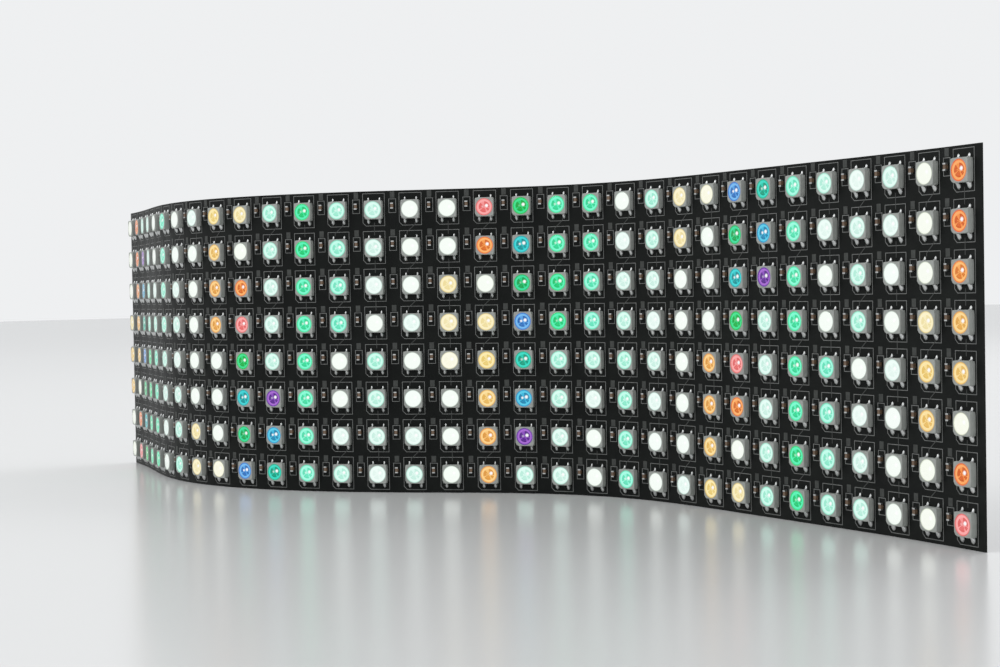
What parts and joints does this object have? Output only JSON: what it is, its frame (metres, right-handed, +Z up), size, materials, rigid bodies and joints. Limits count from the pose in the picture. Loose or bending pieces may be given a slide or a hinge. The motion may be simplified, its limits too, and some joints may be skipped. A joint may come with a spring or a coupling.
{
  "type": "rgb led matrix panel",
  "caption": "Flexible black printed board standing on its long edge in an S curve, with a square grid of white light packages that have round lit windows.",
  "frame": {"origin": "on the surface that the panel stands on, in the middle of its footprint", "axes": "+X along the chord of the S curve, to the right for someone who faces the lights; +Z up; the lights look towards -Y"},
  "size_m": [0.3013, 0.0497, 0.08],
  "materials": {
    "board": "black cover film, satin gloss",
    "housing": "moulded white plastic",
    "window": "clear silicone, lit from inside",
    "capacitor": "ceramic",
    "pad": "tinned copper"
  },
  "bodies": {
    "root": {"flex_board": "board", "led_housings_row_1": "housing", "led_housings_row_2": "housing", "led_housings_row_3": "housing", "led_housings_row_4": "housing", "led_housings_row_5": "housing", "led_housings_row_6": "housing", "led_housings_row_7": "housing", "led_housings_row_8": "housing", "led_windows_row_1": "window", "led_windows_row_2": "window", "led_windows_row_3": "window", "led_windows_row_4": "window", "led_windows_row_5": "window", "led_windows_row_6": "window", "led_windows_row_7": "window", "led_windows_row_8": "window", "capacitors_row_1": "capacitor", "capacitors_row_2": "capacitor", "capacitors_row_3": "capacitor", "capacitors_row_4": "capacitor", "capacitors_row_5": "capacitor", "capacitors_row_6": "capacitor", "capacitors_row_7": "capacitor", "capacitors_row_8": "capacitor", "input_pads": "pad", "power_pads": "pad", "output_pads": "pad"}
  },
  "joints": []
}
